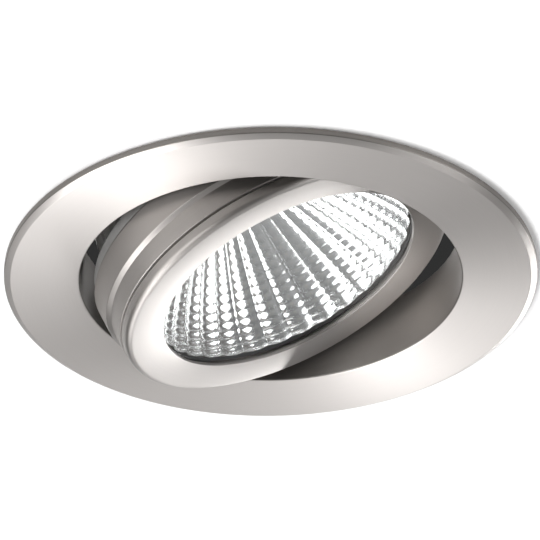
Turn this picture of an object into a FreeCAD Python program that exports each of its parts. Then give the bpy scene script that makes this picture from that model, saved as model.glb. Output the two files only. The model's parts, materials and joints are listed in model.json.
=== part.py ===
# Recessed soffit downlight with a tilting round head.
#
# A round flange and collar sit in a hole in the soffit. Two sprung wings on the collar clamp the board from
# above. The head hangs in the collar on two pivot screws and tilts either way. It holds, from the front: a
# bezel, a clear lens, a fluted reflector, the light source in its holder, and a finned heat sink.
#
# Sizes are millimetres. The origin is on the fitting's axis in the plane of the soffit, and +Z points up
# into the ceiling void. The head is drawn about its own axis with its pivot at height zero ("w" is the height
# above the pivot, so the lamp's face has negative w), then tilted and lifted into the collar.
import FreeCAD
import Part

import math
import os

# ---- soffit and flange ----
cutout_gap = 3.1              # collar to the edge of the soffit's hole
flange_lap = 7.0              # flange past the edge of the hole
gasket_proud = 0.3            # how far the foam holds the flange off the soffit
rim_height = 0.97             # upright edge of the flange
bevel_height = 0.6
bevel_width = 1.0
bevel_round = 0.25
opening_radius = 29.4         # hole in the flange, and bore of the collar
lip_round = 0.3
groove_depth = 0.4            # seat of the foam in the back of the flange
groove_margin = 0.5           # from the soffit's hole to the groove
foam_width = 4.8
foam_clearance = 0.1

# ---- collar ----
collar_wall = 1.5
collar_rise = 8.5             # top of the collar above the soffit
collar_fillet = 0.8
gusset_count = 8
gusset_wall = 1.2
gusset_rise = 4.5
gusset_clearance = 0.5        # gussets to the edge of the soffit's hole

# ---- tilt pivot ----
pivot_rise = 4.33             # pivot axis above the soffit
shown_tilt = 24.5             # degrees, as the head is set in the photograph
pivot_screw_radius = 1.5
pivot_running_gap = 0.05
pivot_pad_radius = 3.6        # flat pads round the pivot, inside and outside the collar
pivot_pad_proud = 0.4         # inner pad, in from the collar's bore
pivot_washer_wall = 0.5
pivot_washer_lap = 0.2        # washer smaller than its pad
spring_washer_wall = 0.4
pivot_head_radius = 2.6
pivot_head_height = 1.4
pivot_thread = 3.3            # thread in the head housing
drive_radius = 1.0            # hexagon socket, across corners
drive_depth = 0.8

# ---- clip posts, brackets and pins ----
post_half_width = 7.5
post_bottom = 7.6
post_top = 14.5
bracket_wall = 0.7
bracket_half_width = 6.15
bracket_bend = 0.9
web_drop = 0.3                # top of the web below the top of the post
ear_round = 1.85
ear_foot = 3.4                # foot of the ears above the foot of the web
rivet_radius = 1.0
rivet_head_radius = 1.7
rivet_head_height = 0.8
rivet_spread = 3.4
rivet_rise = 3.2              # rivets above the foot of the web
rivet_inset = 0.35            # inner end of a rivet below the collar's bore
clip_pin_radius = 1.0
clip_pin_gap = 0.05
clip_pin_head_radius = 1.6
clip_pin_head = 0.6
heel_clearance = 0.25         # heel of the wing above the post

# ---- wings ----
wing_droop = 25.0             # degrees below level, where the wing meets its stop
wing_wall = 0.6
wing_side_gap = 0.25
wing_length = 29.0
wing_tip_half_width = 4.0
wing_waist_start = 9.0
wing_waist_end = 15.0
wing_cheek_length = 8.0
wing_rib_half_width = 0.9
wing_rib_height = 0.45
wing_rib_start = 7.0
wing_pad_length = 6.5
wing_pad_wall = 0.9
wing_rib_pad_gap = 1.5

# ---- wing springs ----
spring_wire_radius = 0.4
spring_inner_gap = 0.15       # coil to pin
spring_half_length = 3.25
spring_full_turns = 4
spring_foot = 4.4             # fixed leg, down from the pin's axis
spring_arm = 8.0              # moving leg, out along the wing
spring_notch_gap = 0.25

# ---- head: bands seen from the front ----
head_gap = 1.3                # widest part of the head to the opening
bezel_setback = 0.7           # bezel to the widest part of the head
front_band_setback = 0.6
bezel_ring_width = 6.2        # face of the bezel, from its edge to the window
face_drop = 6.7               # face of the bezel below the pivot
bezel_depth = 2.0
bezel_round = 1.0
window_round = 0.12
shadow_gap = 0.4              # groove between bezel and housing
shadow_depth = 0.9
front_band_length = 3.1
bead_height = 0.6
housing_back = 4.0            # back of the housing above the pivot
housing_edge = 0.4

# ---- head: what the bezel holds ----
lip_wall = 0.5
lens_lap = 1.0                # lens under the lip of the bezel
lens_wall = 1.0
lens_gasket_wall = 0.3
lens_gasket_width = 1.3       # shows as a dark line inside the window
skirt_gap = 0.3
skirt_wall = 1.3
skirt_depth = 3.2
housing_fit = 0.1
shelf_gap = 0.2
land_width = 0.9

# ---- reflector ----
flute_count = 32
flute_turn = 3.75             # degrees from +X to the first ridge
flute_facets = 3              # flats across one flute
flute_rows = 17
flute_dip = 0.035             # ridge between flutes, as a share of the radius
row_step = 0.028              # step of each row, as a share of the radius
reflector_rim = 0.8           # flat rim inside the window
reflector_flange_wall = 0.8
reflector_depth = 19.1
reflector_base_radius = 5.6
reflector_curve = 1.3         # exponent of the wall: 1 is a cone, more is a deeper bowl
reflector_wall = 1.0
reflector_foot = 1.4

# ---- light source ----
chip_radius = 4.0
chip_wall = 0.3
board_half_width = 6.0
board_wall = 1.0
pad_margin = 0.3
pad_wall = 0.3
holder_half_length = 11.0
holder_half_width = 7.4
holder_wall = 2.2
holder_corner = 2.5
holder_fit = 0.1
holder_window = 4.8
holder_window_flare = 0.6
holder_screw_radius = 1.0
holder_screw_head_radius = 1.8
holder_screw_head = 0.9
holder_screw_spread = 8.9
holder_screw_grip = 2.2

# ---- heat sink ----
sink_flange_setback = 1.0
sink_flange_wall = 2.0
sink_mouth_inset = 0.8        # mouth of the funnel inside the housing's bore
sink_floor_margin = 3.6       # floor of the funnel past the ends of the lens holder
sink_wall = 1.8
sink_base_wall = 3.0
fin_count = 24
fin_wall = 1.3
fin_foot_inset = 3.1          # foot of the fins inside the widest part of the head
fin_taper = 3.6               # fins from foot to tip
fin_rise = 6.6
fin_hub_radius = 9.0
fin_edge_round = 1.2
sink_screw_count = 3
sink_screw_inset = 3.7        # screws inside the widest part of the head
sink_screw_radius = 1.25
sink_screw_head_radius = 2.1
sink_screw_head = 1.4
sink_screw_grip = 4.2
sink_screw_access = 0.5

# ---- lead inlet ----
grommet_inset = 3.7           # lead inlet in from the edge of the funnel's floor
grommet_bore_radius = 1.9
grommet_neck_radius = 2.6
grommet_flange_radius = 3.2
grommet_inner_flange = 0.9
grommet_outer_flange = 1.3
grommet_access = 1.2

# ---- places worked out from the sizes above ----
over = 1.0                    # how far a cutting solid runs past what it cuts
full_turn = 360.0
axis_x = FreeCAD.Vector(1, 0, 0)
axis_y = FreeCAD.Vector(0, 1, 0)
axis_z = FreeCAD.Vector(0, 0, 1)
origin = FreeCAD.Vector(0, 0, 0)

collar_radius = opening_radius + collar_wall
cutout_radius = collar_radius + cutout_gap       # hole in the soffit: 34 mm
flange_radius = cutout_radius + flange_lap
flange_back = -gasket_proud
face_z = flange_back - rim_height - bevel_height
groove_inner = cutout_radius + groove_margin
groove_outer = groove_inner + foam_width + 2 * foam_clearance
pivot_pad_inner = opening_radius - pivot_pad_proud
pivot_seat = collar_radius                       # flat pad outside the collar
boss_face = pivot_pad_inner - pivot_washer_wall  # flat boss on the housing

web_bottom = post_bottom
web_top = post_top - web_drop
spring_radius = clip_pin_radius + spring_inner_gap + spring_wire_radius
pin_y = collar_radius - spring_wire_radius + spring_radius
pin_z = post_top + heel_clearance + ear_round
wing_half_width = bracket_half_width - bracket_wall - wing_side_gap
wing_top = spring_radius - spring_wire_radius
wing_root = spring_radius + spring_wire_radius + wing_side_gap

head_radius = opening_radius - head_gap
bezel_radius = head_radius - bezel_setback
front_band_radius = head_radius - front_band_setback
window_radius = bezel_radius - bezel_ring_width
w_face = -face_drop
w_bezel_back = w_face + bezel_depth
w_band_front = w_bezel_back + shadow_gap
w_bead = w_band_front + front_band_length
w_lens_front = w_face + lip_wall
w_lens_back = w_lens_front + lens_wall
w_rim = w_lens_back + lens_gasket_wall
w_flange_back = w_rim + reflector_flange_wall
w_skirt_end = w_bezel_back + skirt_depth
w_shelf = w_skirt_end + shelf_gap
lens_radius = window_radius + lens_lap
skirt_inner = lens_radius + skirt_gap
skirt_outer = skirt_inner + skirt_wall
housing_bore = skirt_outer + housing_fit
land_inner = lens_radius - land_width

w_reflector_foot = w_rim + reflector_depth
w_floor = w_reflector_foot + holder_wall
w_pad = w_floor - pad_wall
w_board = w_pad - board_wall
w_chip = w_board - chip_wall
w_sink_flange = housing_back + sink_flange_wall
w_base_back = w_floor + sink_base_wall
w_fin_top = w_base_back + fin_rise
aperture_radius = window_radius - reflector_rim
sink_mouth_radius = land_inner - sink_mouth_inset
sink_floor_radius = holder_half_length + sink_floor_margin
fin_foot_radius = head_radius - fin_foot_inset
fin_tip_radius = fin_foot_radius - fin_taper
sink_screw_circle = head_radius - sink_screw_inset
grommet_offset = sink_floor_radius - grommet_inset


def vec(x, y, z):
    return FreeCAD.Vector(x, y, z)


# ---- outlines and simple solids ----
def corner_arc(before, corner, after, radius):
    """Start, middle and end of the arc that rounds a corner, tangent to both of its sides."""
    back = (before - corner).normalize()
    ahead = (after - corner).normalize()
    half = back.getAngle(ahead) / 2
    reach = radius / math.tan(half)
    inward = (back + ahead).normalize()
    centre = corner + inward * (radius / math.sin(half))
    return corner + back * reach, centre - inward * radius, corner + ahead * reach


def outline(corners, place):
    """Closed wire through (u, v) or (u, v, round) corners; place turns u and v into a point."""
    points = [place(corner[0], corner[1]) for corner in corners]
    rounds = [corner[2] if len(corner) > 2 else 0.0 for corner in corners]
    edges = []
    starts = []
    for i, (point, radius) in enumerate(zip(points, rounds)):
        if radius > 0:
            after = points[(i + 1) % len(points)]
            first, middle, last = corner_arc(points[i - 1], point, after, radius)
            edges.append(Part.Arc(first, middle, last).toShape())
            starts.append((first, last))
        else:
            starts.append((point, point))
    for i, (_, leaving) in enumerate(starts):
        arriving = starts[(i + 1) % len(starts)][0]
        if leaving.distanceToPoint(arriving) > 1e-6:
            edges.append(Part.LineSegment(leaving, arriving).toShape())
    return Part.Wire(Part.__sortEdges__(edges))


def turned(corners):
    """Solid turned about Z from an outline of (radius, height) corners."""
    profile = Part.Face(outline(corners, lambda r, z: vec(r, 0, z)))
    return profile.revolve(origin, axis_z, full_turn)


def ring(inner, outer, bottom, top):
    """Plain ring about Z."""
    return turned([(inner, bottom), (outer, bottom), (outer, top), (inner, top)])


def disc(radius, bottom, top):
    return Part.makeCylinder(radius, top - bottom, vec(0, 0, bottom))


def block(x, y, z):
    """Box from pairs of low and high ends."""
    size = vec(x[1] - x[0], y[1] - y[0], z[1] - z[0])
    return Part.makeBox(size.x, size.y, size.z, vec(x[0], y[0], z[0]))


def bar(radius, start, end):
    """Round bar between two points."""
    along = end - start
    return Part.makeCylinder(radius, along.Length, start, along)


def slab(corners, place, depth):
    """Flat outline pushed along the vector depth."""
    return Part.Face(outline(corners, place)).extrude(depth)


def moved(shape, offset):
    copy = shape.copy()
    copy.translate(offset)
    return copy


def turned_to(shape, centre, axis, angle):
    copy = shape.copy()
    copy.rotate(centre, axis, angle)
    return copy


def along_y(shape, y):
    """Lays a part that was turned about Z along Y: its +Z end points to +Y, starting at y."""
    return moved(turned_to(shape, origin, axis_x, -90), vec(0, y, 0))


def round_pattern(shape, count, first=0.0):
    step = full_turn / count
    return [turned_to(shape, origin, axis_z, first + i * step) for i in range(count)]


def both_sides(shape):
    """The part at +Y, and the same part on the other side of the fitting."""
    return [shape, turned_to(shape, origin, axis_z, 180)]


def joined(shapes):
    whole = shapes[0].multiFuse(shapes[1:]) if len(shapes) > 1 else shapes[0]
    return whole.removeSplitter()


def in_head(shape):
    """Tilts a part of the head to its shown angle and lifts it to the pivot."""
    tilted = turned_to(shape, origin, -axis_y, shown_tilt)
    return moved(tilted, vec(0, 0, pivot_rise))


# ---- trim ring, gasket ----
def trim_ring():
    """One casting: bevelled flange, collar, gussets, pivot pads and clip posts."""
    profile = [
        (opening_radius, face_z, lip_round),
        (flange_radius - bevel_width, face_z, bevel_round),
        (flange_radius, face_z + bevel_height, bevel_round),
        (flange_radius, flange_back),
        (groove_outer, flange_back),
        (groove_outer, flange_back - groove_depth),
        (groove_inner, flange_back - groove_depth),
        (groove_inner, flange_back),
        (collar_radius, flange_back, collar_fillet),
        (collar_radius, collar_rise, lip_round),
        (opening_radius, collar_rise, lip_round),
    ]
    added = [turned(profile)]
    for side in (0, 180):
        added += [turned_to(shape, origin, axis_z, side) for shape in (clip_post(), pivot_pad())]
    added += round_pattern(gusset(), gusset_count, full_turn / gusset_count / 2)
    ring_body = joined(added)
    cuts = []
    for side in (0, 180):
        cuts += [turned_to(shape, origin, axis_z, side) for shape in trim_holes()]
    return ring_body.cut(cuts).removeSplitter()


def clip_post():
    """Block with a flat outer face for the bracket; its inner face is the collar's bore."""
    post = block((-post_half_width, post_half_width), (0, collar_radius), (post_bottom, post_top))
    foot = block((-post_half_width, post_half_width), (0, collar_radius), (collar_rise / 2, post_bottom + over))
    foot = foot.common(disc(collar_radius, 0, post_top))
    return post.fuse(foot).cut(disc(opening_radius, -over, post_top + over))


def pivot_pad():
    """Round pad at the pivot, flat on both faces."""
    start = vec(0, pivot_pad_inner, pivot_rise)
    return bar(pivot_pad_radius, start, vec(0, pivot_seat, pivot_rise))


def gusset():
    """Triangular rib in the corner of collar and flange, which also centres the collar in the soffit's hole."""
    inner = collar_radius - collar_wall / 2
    outer = cutout_radius - gusset_clearance
    corners = [
        (inner, flange_back - groove_depth),
        (outer, flange_back - groove_depth),
        (outer, flange_back + gusset_rise / 3, lip_round),
        (collar_radius, flange_back + gusset_rise),
        (inner, flange_back + gusset_rise),
    ]
    return slab(corners, lambda r, z: vec(r, -gusset_wall / 2, z), vec(0, gusset_wall, 0))


def trim_holes():
    """Pivot hole, rivet holes and spring notch at +Y."""
    pivot = bar(
        pivot_screw_radius + pivot_running_gap,
        vec(0, pivot_pad_inner - over, pivot_rise),
        vec(0, pivot_seat + over, pivot_rise),
    )
    rivet_z = web_bottom + rivet_rise
    rivets = [
        bar(rivet_radius, vec(x, opening_radius - collar_wall, rivet_z), vec(x, collar_radius + over, rivet_z))
        for x in (-rivet_spread, rivet_spread)
    ]
    notch_half = spring_wire_radius + spring_notch_gap
    notch = block(
        (-spring_half_length - notch_half, -spring_half_length + notch_half),
        (pin_y - spring_radius - notch_half, collar_radius + over),
        (pin_z - spring_foot - spring_notch_gap, post_top + over),
    )
    return [pivot, notch] + rivets


def ceiling_gasket():
    return ring(groove_inner + foam_clearance, groove_outer - foam_clearance, flange_back - groove_depth, 0)


# ---- clips: bracket, rivets, pin, wing, pad, spring; each drawn at +Y ----
def clip_bracket():
    """Folded sheet: a web on the post, and two ears that carry the pin."""
    outer_y = pin_y + ear_round
    inner_y = pin_y - ear_round
    back_y = collar_radius
    channel = slab(
        [
            (-bracket_half_width, outer_y),
            (-bracket_half_width, back_y, bracket_bend),
            (bracket_half_width, back_y, bracket_bend),
            (bracket_half_width, outer_y),
            (bracket_half_width - bracket_wall, outer_y),
            (bracket_half_width - bracket_wall, back_y + bracket_wall, bracket_bend - bracket_wall),
            (-bracket_half_width + bracket_wall, back_y + bracket_wall, bracket_bend - bracket_wall),
            (-bracket_half_width + bracket_wall, outer_y),
        ],
        lambda x, y: vec(x, y, web_bottom),
        vec(0, 0, web_top - web_bottom),
    )
    foot_cut = slab(
        [
            (back_y + bracket_wall, web_bottom - over),
            (outer_y + over, web_bottom - over),
            (outer_y + over, web_bottom + ear_foot + over),
            (back_y + bracket_wall, web_bottom + ear_foot / 2),
        ],
        lambda y, z: vec(-bracket_half_width - over, y, z),
        vec(2 * (bracket_half_width + over), 0, 0),
    )
    ear = slab(
        [
            (back_y + bracket_bend, web_top - over),
            (outer_y, web_top - over),
            (outer_y, pin_z + ear_round, ear_round * 0.98),
            (inner_y, pin_z + ear_round, ear_round * 0.98),
            (inner_y, post_top + heel_clearance),
            (back_y + bracket_bend, post_top + heel_clearance - web_drop),
        ],
        lambda y, z: vec(bracket_half_width - bracket_wall, y, z),
        vec(bracket_wall, 0, 0),
    )
    ears = [ear, ear.mirror(origin, axis_x)]
    holes = [bar(clip_pin_radius, vec(-cutout_radius, pin_y, pin_z), vec(cutout_radius, pin_y, pin_z))]
    rivet_z = web_bottom + rivet_rise
    for x in (-rivet_spread, rivet_spread):
        holes.append(bar(rivet_radius, vec(x, back_y - over, rivet_z), vec(x, outer_y, rivet_z)))
    return joined([channel.cut(foot_cut)] + ears).cut(holes)


def bracket_rivet(x):
    """Round-headed rivet through the web and the post."""
    shank_start = math.sqrt(opening_radius ** 2 - x ** 2) + rivet_inset
    head_seat = collar_radius + bracket_wall
    profile = [
        (0, shank_start),
        (rivet_radius, shank_start),
        (rivet_radius, head_seat),
        (rivet_head_radius, head_seat),
        (rivet_head_radius, head_seat + rivet_head_height, rivet_head_height * 0.8),
        (0, head_seat + rivet_head_height),
    ]
    return moved(along_y(turned(profile), 0), vec(x, 0, web_bottom + rivet_rise))


def clip_pin():
    """Headed pin across the two ears."""
    seat = bracket_half_width
    profile = [
        (0, -seat - clip_pin_head),
        (clip_pin_head_radius, -seat - clip_pin_head, clip_pin_head * 0.6),
        (clip_pin_head_radius, -seat),
        (clip_pin_radius, -seat),
        (clip_pin_radius, seat),
        (clip_pin_head_radius, seat),
        (clip_pin_head_radius, seat + clip_pin_head, clip_pin_head * 0.6),
        (0, seat + clip_pin_head),
    ]
    return moved(turned_to(turned(profile), origin, axis_y, 90), vec(0, pin_y, pin_z))


def on_wing(shape):
    """Carries a part from the wing's own frame, out along Y from its pin, to where the wing rests."""
    drooped = turned_to(shape, origin, axis_x, -wing_droop)
    return moved(drooped, vec(0, pin_y, pin_z))


def wing_blade():
    """Tongue of the wing, waisted in plan, in the wing's own frame."""
    half = wing_half_width
    tip = wing_tip_half_width
    right = [
        (half, wing_root),
        (half, wing_waist_start, wing_waist_start / 4),
        (tip, wing_waist_end, wing_waist_end / 5),
        (tip, wing_length, tip / 3),
    ]
    left = [(-corner[0],) + corner[1:] for corner in reversed(right)]
    return slab(right + left, lambda x, y: vec(x, y, wing_top - wing_wall), vec(0, 0, wing_wall))


def clip_wing():
    """Pressed steel wing: two cheeks on the pin, a tongue, and a stiffening rib along it."""
    heel = ear_round
    cheek = slab(
        [
            (-heel, -heel, heel * 0.98),
            (heel * 0.8, -heel, heel / 2),
            (wing_cheek_length, wing_top - wing_wall),
            (wing_cheek_length, wing_top),
            (wing_root, wing_top),
            (heel * 0.8, heel, heel / 4),
            (-heel, heel, heel * 0.98),
        ],
        lambda y, z: vec(wing_half_width - wing_wall, y, z),
        vec(wing_wall, 0, 0),
    )
    rib_end = wing_length - wing_pad_length - wing_rib_pad_gap
    rib = slab(
        [
            (wing_rib_start, wing_top - wing_wall / 2),
            (wing_rib_start + wing_rib_height * 2, wing_top + wing_rib_height, wing_rib_height),
            (rib_end - wing_rib_height * 2, wing_top + wing_rib_height, wing_rib_height),
            (rib_end, wing_top - wing_wall / 2),
        ],
        lambda y, z: vec(-wing_rib_half_width, y, z),
        vec(2 * wing_rib_half_width, 0, 0),
    )
    wing = joined([wing_blade(), cheek, cheek.mirror(origin, axis_x), rib])
    hole = bar(clip_pin_radius + clip_pin_gap, vec(-cutout_radius, 0, 0), vec(cutout_radius, 0, 0))
    return on_wing(wing.cut(hole))


def clip_pad():
    """Soft sleeve pushed over the end of the wing."""
    half = wing_tip_half_width + wing_pad_wall
    start = wing_length - wing_pad_length
    end = wing_length + wing_pad_wall
    sleeve = slab(
        [(-half, start), (half, start), (half, end, half / 2), (-half, end, half / 2)],
        lambda x, y: vec(x, y, wing_top - wing_wall - wing_pad_wall),
        vec(0, 0, wing_wall + 2 * wing_pad_wall),
    )
    return on_wing(sleeve.cut(wing_blade()))


def biarc(start, leaving, end, arriving):
    """Two tangent arcs that join two points with given directions."""
    span = end - start
    turn = leaving + arriving
    bend = 2 * (1 - leaving.dot(arriving))
    push = span.dot(turn)
    reach = (math.sqrt(push ** 2 + bend * span.dot(span)) - push) / bend
    knee = (start + end + (leaving - arriving) * reach) * 0.5
    arcs = []
    for first, last, vertex in (
        (start, knee, start + leaving * reach),
        (knee, end, end - arriving * reach),
    ):
        middle = (first + last) * 0.5
        half_chord = (last - first).Length / 2
        half_turn = math.acos(min(1.0, half_chord / reach))
        sagitta = half_chord * math.tan(half_turn / 2)
        crown = middle + (vertex - middle).normalize() * sagitta
        arcs.append(Part.Arc(first, crown, last))
    return arcs


def spring_stations():
    """Points and directions along the coil, a quarter turn or less apart, and its two leg ends."""
    droop = math.radians(wing_droop)
    first = math.pi
    last = math.pi / 2 - droop - 2 * math.pi * spring_full_turns
    steps = math.ceil((first - last) / (math.pi / 2))
    slope = 2 * spring_half_length / (first - last)
    stations = []
    for i in range(steps + 1):
        angle = first + (last - first) * i / steps
        x = -spring_half_length + 2 * spring_half_length * i / steps
        point = vec(x, pin_y + spring_radius * math.cos(angle), pin_z + spring_radius * math.sin(angle))
        lead = 0.0 if i in (0, steps) else slope / spring_radius
        stations.append((point, vec(lead, math.sin(angle), -math.cos(angle)).normalize()))
    return stations


def clip_spring():
    """Torsion spring: a fixed leg in the post's notch, a coil on the pin, and a leg on top of the wing."""
    stations = spring_stations()
    foot = stations[0][0] - stations[0][1] * spring_foot
    arm = stations[-1][0] + stations[-1][1] * spring_arm
    curves = [Part.LineSegment(foot, stations[0][0])]
    for (start, leaving), (end, arriving) in zip(stations, stations[1:]):
        curves += biarc(start, leaving, end, arriving)
    curves.append(Part.LineSegment(stations[-1][0], arm))
    path = Part.Wire([curve.toShape() for curve in curves])
    wire_end = Part.Wire(Part.makeCircle(spring_wire_radius, foot, stations[0][1]))
    print("spring turns, least gap (mm):", round(spring_gap(path), 3))
    return path.makePipeShell([wire_end], True, False)


def spring_gap(path):
    """Least clear distance between turns of the wire, measured on points along its centre line."""
    points = path.discretize(Distance=spring_wire_radius / 2)
    lengths = [0.0]
    for before, after in zip(points, points[1:]):
        lengths.append(lengths[-1] + before.distanceToPoint(after))
    apart = math.pi * spring_radius
    gaps = [
        points[i].distanceToPoint(points[j])
        for i in range(len(points))
        for j in range(i + 1, len(points))
        if lengths[j] - lengths[i] > apart
    ]
    return min(gaps) - 2 * spring_wire_radius


# ---- pivot hardware, drawn at +Y in the head's own frame ----
def pivot_screw():
    """Shouldered screw through the collar into the housing, with a hexagon socket."""
    seat = pivot_seat + spring_washer_wall
    profile = [
        (0, boss_face - pivot_thread),
        (pivot_screw_radius, boss_face - pivot_thread),
        (pivot_screw_radius, seat),
        (pivot_head_radius, seat),
        (pivot_head_radius, seat + pivot_head_height, pivot_head_height * 0.4),
        (0, seat + pivot_head_height),
    ]
    socket = hexagon(drive_radius, seat + pivot_head_height - drive_depth, drive_depth + over)
    return along_y(turned(profile).cut(socket), 0)


def hexagon(corner_radius, bottom, depth):
    corners = [
        (corner_radius * math.cos(math.radians(60 * i)), corner_radius * math.sin(math.radians(60 * i)))
        for i in range(6)
    ]
    return slab(corners, lambda x, y: vec(x, y, bottom), vec(0, 0, depth))


def pivot_washer():
    """Nylon friction washer between the housing and the collar."""
    outer = pivot_pad_radius - pivot_washer_lap
    return along_y(ring(pivot_screw_radius + pivot_running_gap, outer, boss_face, pivot_pad_inner), 0)


def pivot_spring_washer():
    """Steel spring washer under the head of the pivot screw."""
    inner = pivot_screw_radius + pivot_running_gap
    return along_y(ring(inner, pivot_head_radius + pivot_washer_lap, pivot_seat, pivot_seat + spring_washer_wall), 0)


# ---- head: front to back ----
def front_bezel():
    """Face ring with a rounded edge, a thin lip over the lens, and a skirt that pushes into the housing."""
    return turned([
        (window_radius, w_face, window_round),
        (bezel_radius, w_face, bezel_round),
        (bezel_radius, w_bezel_back),
        (skirt_outer, w_bezel_back),
        (skirt_outer, w_skirt_end),
        (skirt_inner, w_skirt_end),
        (skirt_inner, w_lens_front),
        (window_radius, w_lens_front),
    ])


def lens():
    edge = lens_wall / 5
    return turned([
        (0, w_lens_front),
        (lens_radius, w_lens_front, edge),
        (lens_radius, w_lens_back, edge),
        (0, w_lens_back),
    ])


def lens_gasket():
    return ring(lens_radius - lens_gasket_width, lens_radius, w_lens_back, w_rim)


def head_housing():
    """Drum of the head: two bands with a bead between them, a channel for the bezel's skirt, pivot bosses."""
    profile = [
        (housing_bore, w_bezel_back),
        (bezel_radius - shadow_depth, w_bezel_back),
        (bezel_radius - shadow_depth, w_band_front),
        (front_band_radius, w_band_front),
        (front_band_radius, w_bead),
        (head_radius, w_bead + bead_height),
        (head_radius, housing_back, housing_edge),
        (land_inner, housing_back),
        (land_inner, w_flange_back),
        (lens_radius, w_flange_back),
        (lens_radius, w_shelf),
        (housing_bore, w_shelf),
    ]
    boss = bar(pivot_pad_radius, vec(0, boss_face - pivot_thread, 0), vec(0, boss_face, 0))
    body = joined([turned(profile)] + both_sides(boss))
    tapped = bar(pivot_screw_radius, vec(0, boss_face - pivot_thread, 0), vec(0, boss_face + over, 0))
    screw_hole = bar(
        sink_screw_radius,
        vec(sink_screw_circle, 0, housing_back - sink_screw_grip),
        vec(sink_screw_circle, 0, housing_back + over),
    )
    holes = both_sides(tapped) + round_pattern(screw_hole, sink_screw_count)
    return body.cut(holes)


def wall_radius(depth):
    """Radius of the reflector's wall at a depth behind its rim."""
    share = (depth / reflector_depth) ** reflector_curve
    return aperture_radius - (aperture_radius - reflector_base_radius) * share


def flute_section(radius, height):
    """Many-sided section of the reflector's hollow: each flute bulges out, and a ridge dips between flutes."""
    points = []
    flute = full_turn / flute_count
    for i in range(flute_count):
        for j in range(flute_facets):
            across = j / flute_facets
            reach = 1.0 - flute_dip if j == 0 else 1.0
            angle = math.radians(flute_turn + (i + across) * flute)
            points.append(vec(radius * reach * math.cos(angle), radius * reach * math.sin(angle), height))
    return points


def flute_levels():
    """(radius, height) of each section, from the rim down: every row starts wide and steps in halfway."""
    pitch = reflector_depth / flute_rows
    levels = []
    for row in range(flute_rows):
        top = row * pitch
        levels.append((wall_radius(top), w_rim + top))
        levels.append((wall_radius(top + pitch / 2) * (1 - row_step), w_rim + top + pitch / 2))
    levels.append((reflector_base_radius, w_reflector_foot))
    return levels


def reflector_hollow():
    """Solid of flat facets that shapes the reflector's inside; sections are scaled copies, so facets are flat."""
    sections = [flute_section(radius, height) for radius, height in flute_levels()]
    sides = len(sections[0])
    faces = [Part.Face(Part.makePolygon(section + section[:1])) for section in (sections[0], sections[-1])]
    for upper, lower in zip(sections, sections[1:]):
        for i in range(sides):
            after = (i + 1) % sides
            corners = [upper[i], upper[after], lower[after], lower[i], upper[i]]
            faces.append(Part.Face(Part.makePolygon(corners)))
    shell = Part.Shell(faces)
    hollow = Part.Solid(shell)
    if hollow.Volume < 0:
        hollow.reverse()
    return hollow


def reflector_outside():
    """(radius, height) points down the outside of the reflector's wall."""
    stations = 6
    points = []
    for i in range(1, stations):
        depth = reflector_flange_wall + (reflector_depth - reflector_flange_wall - reflector_foot) * i / stations
        points.append((wall_radius(depth) + reflector_wall, w_rim + depth))
    return points


def reflector():
    """Bright fluted cup with a flat rim; its foot stands on the holder of the light source."""
    foot_radius = wall_radius(reflector_depth - reflector_foot) + reflector_wall
    foot_top = w_reflector_foot - reflector_foot
    mouth = wall_radius(reflector_flange_wall) + reflector_wall
    curve = Part.BSplineCurve()
    wall = [(mouth, w_flange_back)] + reflector_outside() + [(foot_radius, foot_top)]
    curve.interpolate([vec(r, 0, z) for r, z in wall])
    straight = [
        (foot_radius, foot_top),
        (foot_radius, w_reflector_foot),
        (0, w_reflector_foot),
        (0, w_rim),
        (lens_radius, w_rim),
        (lens_radius, w_flange_back),
        (mouth, w_flange_back),
    ]
    edges = [
        Part.LineSegment(vec(a[0], 0, a[1]), vec(b[0], 0, b[1])).toShape()
        for a, b in zip(straight, straight[1:])
    ]
    blank = Part.Face(Part.Wire([curve.toShape()] + edges)).revolve(origin, axis_z, full_turn)
    return blank.cut(reflector_hollow())


# ---- light source ----
def square(half, bottom, top):
    return block((-half, half), (-half, half), (bottom, top))


def thermal_pad():
    return square(board_half_width + pad_margin, w_pad, w_floor)


def led_board():
    return square(board_half_width, w_board, w_pad)


def led_chip():
    return disc(chip_radius, w_chip, w_board)


def led_holder():
    """Moulded frame over the board, with a flared window for the light and two screw holes."""
    body = slab(
        [
            (-holder_half_length, -holder_half_width, holder_corner),
            (holder_half_length, -holder_half_width, holder_corner),
            (holder_half_length, holder_half_width, holder_corner),
            (-holder_half_length, holder_half_width, holder_corner),
        ],
        lambda x, y: vec(x, y, w_reflector_foot),
        vec(0, 0, holder_wall),
    )
    window = turned([
        (0, w_reflector_foot - over),
        (holder_window + holder_window_flare, w_reflector_foot - over),
        (holder_window + holder_window_flare, w_reflector_foot),
        (holder_window, w_board),
        (0, w_board),
    ])
    pocket = [
        square(board_half_width + holder_fit, w_board, w_pad),
        square(board_half_width + pad_margin + holder_fit, w_pad, w_floor + over),
    ]
    screws = [
        bar(holder_screw_radius, vec(x, 0, w_reflector_foot - over), vec(x, 0, w_floor + over))
        for x in (-holder_screw_spread, holder_screw_spread)
    ]
    sinks = [
        bar(holder_screw_head_radius + holder_fit, vec(x, 0, w_reflector_foot - over),
            vec(x, 0, w_reflector_foot + holder_screw_head))
        for x in (-holder_screw_spread, holder_screw_spread)
    ]
    return body.cut([window] + pocket + screws + sinks)


def holder_screw(x):
    """Cheese-head screw, head down in the holder, thread in the floor of the heat sink."""
    seat = w_reflector_foot + holder_screw_head
    profile = [
        (0, w_reflector_foot),
        (holder_screw_head_radius, w_reflector_foot),
        (holder_screw_head_radius, seat),
        (holder_screw_radius, seat),
        (holder_screw_radius, w_floor + holder_screw_grip),
        (0, w_floor + holder_screw_grip),
    ]
    return moved(turned(profile), vec(x, 0, 0))


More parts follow.
